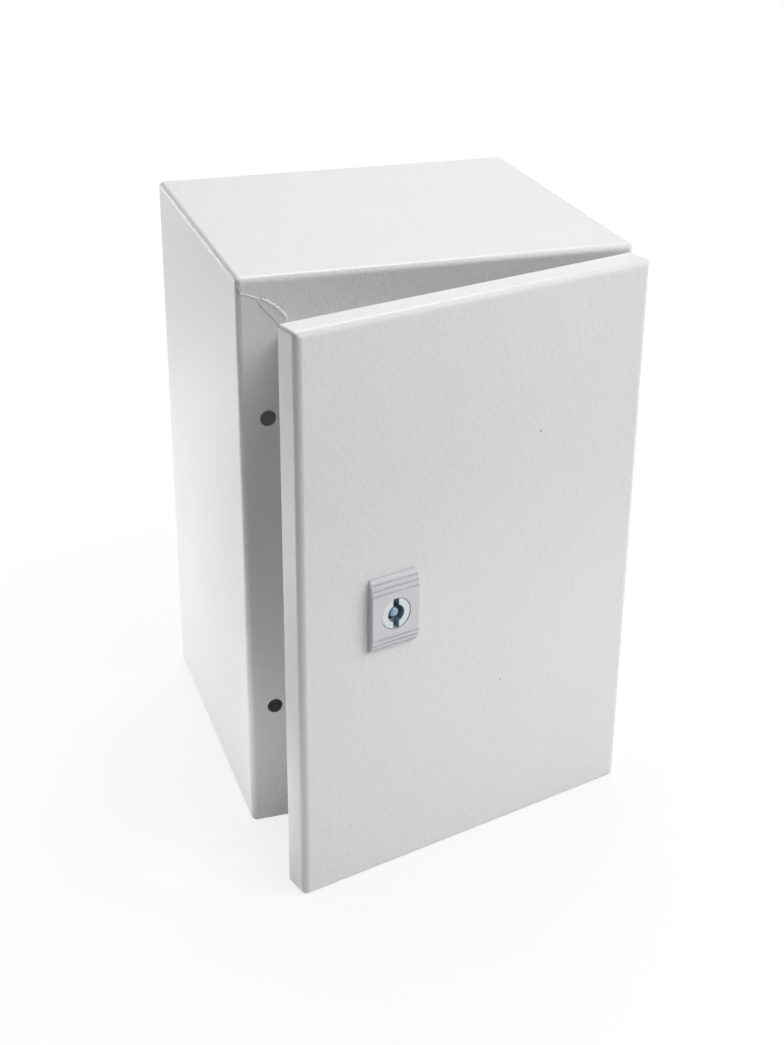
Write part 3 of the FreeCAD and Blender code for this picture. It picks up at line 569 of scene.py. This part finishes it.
def model_fasteners(material):
    """Nuts, studs and screws in place of the plain CAD ones."""
    inward = -LOCK_AXIS

    def fit(node, body, shapes, sharp=40.0):
        piece = new_piece(node + "_modelled", *gather(shapes), material, sharp)
        seat(piece, node, body)

    for node, body, axis, thread in (
            ("plate_nuts", "enclosure", FRONT, M6), ("gland_nuts", "enclosure", UP, M5),
            ("body_earth_nut", "enclosure", UP, M6), ("door_earth_nut", "door", inward, M6)):
        fit(node, body, [nut(frame_at(base, axis), thread, length)
                         for base, length in spans(node, axis)], sharp=30.0)
    for node, body, axis, thread in (
            ("gland_studs", "enclosure", UP, M5), ("body_earth_stud", "enclosure", UP, M6),
            ("door_earth_stud", "door", inward, M6)):
        fit(node, body, [threaded_rod(frame_at(base, axis), thread, length, STUD_FOOT)
                         for base, length in spans(node, axis)])
    shapes = []
    for base, length in spans("plate_studs", FRONT):
        shoulder = frame_at(base + FRONT * COLLAR_LENGTH, FRONT)
        shapes += [threaded_rod(shoulder, M6, length - COLLAR_LENGTH, PLATE_STUD_FOOT),
                   collar(base, FRONT)]
    fit("plate_studs", "enclosure", shapes)
    for node, body, axis in (("hinge_screws", "enclosure", BACK),
                             ("cam_screw", "lock", inward)):
        shapes = []
        for base, length in spans(node, axis):
            shapes += hex_screw(base, length, axis)
        fit(node, body, shapes)


# Seals

def rounded_path(half_x, half_z, radius, spacing):
    """Points and outward ways around a rounded rectangle, anticlockwise."""
    points = []
    bend_steps = 8
    x, z = half_x - radius, half_z - radius
    for sign_x, sign_z, quarter in ((1, 1, 0), (-1, 1, 1), (-1, -1, 2), (1, -1, 3)):
        centre = Vector((sign_x * x, sign_z * z))
        for i in range(bend_steps):
            angle = math.pi / 2 * (quarter + i / bend_steps)
            way = Vector((math.cos(angle), math.sin(angle)))
            points.append((centre + way * radius, way))
        angle = math.pi / 2 * (quarter + 1)
        way = Vector((math.cos(angle), math.sin(angle)))
        turn = Vector((-way.y, way.x))
        start = centre + way * radius
        stop = start + turn * 2 * (x if abs(turn.x) > 0.5 else z)
        steps = max(2, round((stop - start).length / spacing))
        points += [(start.lerp(stop, i / steps), way) for i in range(steps)]
    return points


def door_gasket(material):
    """Foam poured in place: domed, a little uneven, with a blob where it starts and ends."""
    half_x = GASKET_HIGH.x - GASKET_WIDTH / 2
    half_z = GASKET_HIGH.z - GASKET_WIDTH / 2
    inside = GASKET_LOW.y
    pour = Vector((POUR_START, -half_z))
    dome_steps = 14
    rings = []
    for point, way in rounded_path(half_x, half_z, GASKET_CORNER, 2.2 * MM):
        spot = Vector((point.x, point.y, 0)) * FOAM_WAVES
        wander = noise.noise(spot) * 0.25 * MM
        wide = noise.noise(spot + Vector((7, 3, 1))) * 0.18 * MM
        tall = noise.noise(spot + Vector((1, 8, 5))) * 0.2 * MM
        swell = math.exp(-((point - pour).length / POUR_BLOB) ** 2)
        half = FOAM_HALF_WIDTH + wide + 0.15 * MM * swell
        rise = FOAM_RISE + tall + 0.5 * MM * swell
        ring = []
        for step in range(dome_steps + 1):
            t = step / dome_steps * 2 - 1
            across = point + way * (half * math.sin(t * math.pi / 2) + wander)
            dome = 0.0
            if abs(t) < 1:
                dome = rise * (0.14 + 0.86 * (1 - abs(t) ** 3.2) ** 0.55)
            ring.append(DOOR_TURN @ Vector((across.x, inside + dome, across.y)))
        rings.append(ring)
    seat(new_piece("door_gasket_foam", *loop_grid(rings), material, 50.0),
         "door_gasket", "door")


def flat_seal(name, loops, matrix, thickness, edge, material):
    """A flat seal cut from sheet, with its holes and soft edges."""
    curve = bpy.data.curves.new(name, "CURVE")
    curve.dimensions = "2D"
    curve.fill_mode = "BOTH"
    curve.extrude = thickness / 2 - edge
    curve.bevel_depth = edge
    curve.bevel_resolution = 2
    curve.offset = -edge
    for points in loops:
        spline = curve.splines.new("POLY")
        spline.points.add(len(points) - 1)
        for target, (x, y) in zip(spline.points, points):
            target.co = (x, y, 0, 1)
        spline.use_cyclic_u = True
    outline = add_object(name + "_outline", curve)
    graph = bpy.context.evaluated_depsgraph_get()
    mesh = bpy.data.meshes.new_from_object(outline.evaluated_get(graph))
    bpy.data.objects.remove(outline)
    mesh.transform(matrix @ Matrix.Translation((0, 0, thickness / 2)))
    finish_mesh(mesh, material, 40.0)
    return add_object(name, mesh)


def gland_gasket(material):
    low, high = map(Vector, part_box("gland_gasket"))
    middle, size = (low + high) / 2, high - low
    loops = [[tuple(point) for point, _ in rounded_path(
        size.x / 2 - inset, size.y / 2 - inset, GLAND_CORNER, 10 * MM)]
        for inset in (0.0, GLAND_FRAME)]
    for sign_x in (-1, 1):
        for sign_y in (-1, 1):
            x = sign_x * (size.x - GLAND_FRAME) / 2
            y = sign_y * (size.y - GLAND_FRAME) / 2
            loops.append([(x + way.x * GLAND_HOLE, y + way.y * GLAND_HOLE)
                          for way in round_ways(32)])
    base = Matrix.Translation((middle.x, middle.y, low.z))
    seat(flat_seal("gland_gasket_foam", loops, base, size.z, GLAND_EDGE, material),
         "gland_gasket", "enclosure")


def lock_seal(material):
    inside, outside = LOCK_SEAL_INSIDE, LOCK_SEAL_OUTSIDE
    thick, edge = LOCK_SEAL_THICK, LOCK_SEAL_EDGE
    profile = [(inside, edge), (inside + edge, 0), (outside - edge, 0), (outside, edge),
               (outside, thick - edge), (outside - edge, thick), (inside + edge, thick),
               (inside, thick - edge)]
    base, _ = spans("lock_seal", LOCK_AXIS)[0]
    seat(new_piece("lock_seal_ring", *lathe(profile, frame_at(base, LOCK_AXIS), 64),
                   material, 50.0), "lock_seal", "door")


# Welds

def weld_bead(side, end, relief, seed):
    """One bead on a mitre: crisp towards the side, with a rough ridge towards the end.

    It is worked out in millimetres along the mitre from the body's corner and across
    it, where 0 is the mitre and higher is nearer the top or the base.
    """
    rows, columns = 90, 22
    grid = []
    for row in range(rows + 1):
        along = BEAD_START + (BEAD_STOP - BEAD_START) * row / rows
        past, left = along - BEAD_START, BEAD_STOP - along
        width = min(1.0, 0.5 + past / BEAD_FLARE) * min(1.0, 0.1 + left / BEAD_CLOSE)
        emerge = min(1.0, 0.15 + past / BEAD_EMERGE)
        low_edge = -1.3 - 1.5 * row / rows
        high_edge = min(2.0 + 0.26 * past, 4.1 - 0.2 * (along - 18.0))
        ragged = noise.noise(Vector((along * 1.1, seed, 0))) * 0.9
        for column in range(columns + 1):
            t = column / columns
            across = (low_edge + (high_edge - low_edge + ragged * t) * t) * width
            spot = Vector((along * 1.3, across * 1.3, seed))
            crest = math.exp(-((t - CREST_AT) / CREST_WIDTH) ** 2)
            rough = noise.noise(spot) * 0.12 + noise.noise(spot * 2.6) * (0.06 + 0.22 * crest)
            ridge = 0.34 + 0.10 * t + 0.34 * crest
            rise = (ridge + rough) * min(1.0, (1 - t) / 0.1) ** 0.6 * min(1.0, t / 0.05)
            rise = max(0.0, min(BEAD_TALLEST, rise * relief * emerge)) * min(1.0, width * 1.3)
            shift = across / math.sqrt(2)
            grid.append(Vector((side * (HALF_WIDTH - (along + shift) * MM),
                                FLANGE_FACE - rise * MM,
                                end * (HALF_HEIGHT - (along - shift) * MM))))
    count = columns + 1
    faces = [(row * count + i, row * count + i + 1,
              (row + 1) * count + i + 1, (row + 1) * count + i)
             for row in range(rows) for i in range(columns)]
    border = ([i for i in range(count)]
              + [row * count + columns for row in range(1, rows + 1)]
              + [rows * count + i for i in range(columns - 1, -1, -1)]
              + [row * count for row in range(rows - 1, 0, -1)])
    faces.append(tuple(reversed(border)))
    return grid, faces


def weld_tail(path):
    """The bead's low tail, which runs on to the side's bend."""
    steps = 40
    rings = []
    for step in range(steps + 1):
        along = step / steps * (len(path) - 1)
        k = min(int(along), len(path) - 2)
        middle = path[k].lerp(path[k + 1], along - k)
        swell = math.sin(math.pi * (0.06 + 0.88 * step / steps)) ** 0.5
        half = TAIL_HALF_WIDTH * swell * (1 + 0.3 * noise.noise(middle * 700))
        rise = TAIL_RISE * swell * (1 + 0.5 * noise.noise(middle * 900))
        rings.append([middle + UP * half * t + FRONT * rise * (1 - t * t)
                      for t in (-1, -0.6, -0.2, 0.2, 0.6, 1)])
    return ring_grid(rings)


def welds(material):
    shapes = [weld_bead(*bead) for bead in BEADS]
    shapes.append(weld_tail([Vector((x * MM, FLANGE_FACE, z * MM)) for x, z in WELD_TAIL]))
    seat(new_piece("corner_welds_modelled", *gather(shapes), material, 60.0),
         "corner_welds", "enclosure")


# Camera, light and floor

def camera():
    data = bpy.data.cameras.new("photo_camera")
    data.lens = CAMERA_LENS
    data.sensor_width = SENSOR
    data.sensor_fit = "AUTO"
    data.clip_start, data.clip_end = 0.05, 20
    thing = add_object("photo_camera", data)
    turn = (Matrix.Rotation(-math.radians(CAMERA_HEADING), 4, "Z")
            @ Matrix.Rotation(math.radians(90 + CAMERA_PITCH), 4, "X")
            @ Matrix.Rotation(math.radians(CAMERA_ROLL), 4, "Z"))
    thing.matrix_world = Matrix.Translation(CAMERA_PLACE) @ turn
    bpy.context.scene.camera = thing


def lighting():
    for name, place, aim, side, power, tint in LIGHTS:
        data = bpy.data.lights.new(name, "AREA")
        data.shape = "RECTANGLE"
        data.size = data.size_y = side
        data.energy = power
        data.color = tint
        towards = Vector(aim) - Vector(place)
        add_object(name, data).matrix_world = (
            Matrix.Translation(place) @ towards.to_track_quat("-Z", "Y").to_matrix().to_4x4())


def surroundings():
    """White where the camera looks past the floor, and faint for all other light."""
    world = bpy.data.worlds.new("studio")
    bpy.context.scene.world = world
    world.use_nodes = True
    tree = world.node_tree
    background = tree.nodes["Background"]
    background.inputs["Color"].default_value = (1, 1, 1, 1)
    path = add_node(tree, "ShaderNodeLightPath").outputs
    seen = combine(tree, "MAXIMUM", path["Is Camera Ray"], path["Is Transmission Ray"])
    tree.links.new(spread(tree, seen, WORLD_STRENGTH, 1.0), background.inputs["Strength"])


def floor():
    """A white floor that keeps a soft shadow and turns pure white further out."""
    mesh = bpy.data.meshes.new("floor")
    corners = [(x * FLOOR_HALF, y * FLOOR_HALF, FLOOR_LEVEL)
               for x, y in ((-1, -1), (1, -1), (1, 1), (-1, 1))]
    mesh.from_pydata(corners, [], [(0, 1, 2, 3)])
    thing = add_object("floor", mesh)
    material, tree, shader = new_material("floor_white", (0.86, 0.86, 0.86), 0.9, specular=0.0)
    glow = add_node(tree, "ShaderNodeEmission")
    place = object_place(tree)
    path = add_node(tree, "ShaderNodeLightPath").outputs
    mirrored = path["Is Glossy Ray"]

    split = add_node(tree, "ShaderNodeSeparateXYZ")
    tree.links.new(place, split.inputs["Vector"])
    fade = spread(tree, split.outputs["Y"], 0.0, 1.0,
                  from_low=MIRROR_FADE_START, from_high=MIRROR_FADE_END)
    strength = combine(tree, "SUBTRACT", 1.0, combine(tree, "MULTIPLY", mirrored, fade))
    tree.links.new(strength, glow.inputs["Strength"])

    away = from_point(tree, place, "DISTANCE", FLOOR_FOOT)["Value"]
    share = spread(tree, away, FLOOR_NEAR_GLOW, 1.0,
                   from_low=FLOOR_GLOW_START, from_high=FLOOR_GLOW_END)
    share = combine(tree, "MULTIPLY", share, path["Is Camera Ray"])
    share = combine(tree, "MAXIMUM", share, mirrored)
    mix = add_node(tree, "ShaderNodeMixShader")
    tree.links.new(share, mix.inputs["Fac"])
    tree.links.new(shader.outputs["BSDF"], mix.inputs[1])
    tree.links.new(glow.outputs["Emission"], mix.inputs[2])
    tree.links.new(mix.outputs["Shader"], tree.nodes["Material Output"].inputs["Surface"])
    mesh.materials.append(material)


camera()
lighting()
surroundings()
floor()

coat = powder_coat()
bright = zinc_plate()
dark_foam = foam("seal_foam_dark", (0.04, 0.04, 0.042), pore_scale=1400.0, depth=0.12 * MM)
rubber = foam("seal_rubber_black", (0.02, 0.02, 0.02), pore_scale=3000.0, depth=0.02 * MM)

dress(["side_and_back_wrap", "top_panel", "bottom_panel", "corner_welds", "door_panel"], coat)
dress(["mounting_plate", "gland_plate"], galvanised())
dress(["plate_studs", "plate_washers", "plate_nuts", "gland_studs", "gland_washers",
       "gland_nuts", "body_earth_stud", "body_earth_washer", "body_earth_nut",
       "door_earth_stud", "door_earth_washer", "door_earth_nut", "hinge_bracket_upper",
       "hinge_bracket_lower", "hinge_leaf_upper", "hinge_leaf_lower", "hinge_washers",
       "hinge_screws", "lock_cam", "cam_washer", "cam_screw", "hinge_pin_upper",
       "hinge_pin_lower"], bright)
dress(["lock_housing", "lock_nut"], lock_plastic())
dress(["lock_rotor"], rotor_zinc())
dress(["door_gasket", "gland_gasket"], dark_foam)
dress(["lock_seal"], rubber)

model_fasteners(bright)
door_gasket(dark_foam)
gland_gasket(dark_foam)
lock_seal(rubber)
welds(coat)

bpy.context.scene.view_settings.view_transform = "Standard"
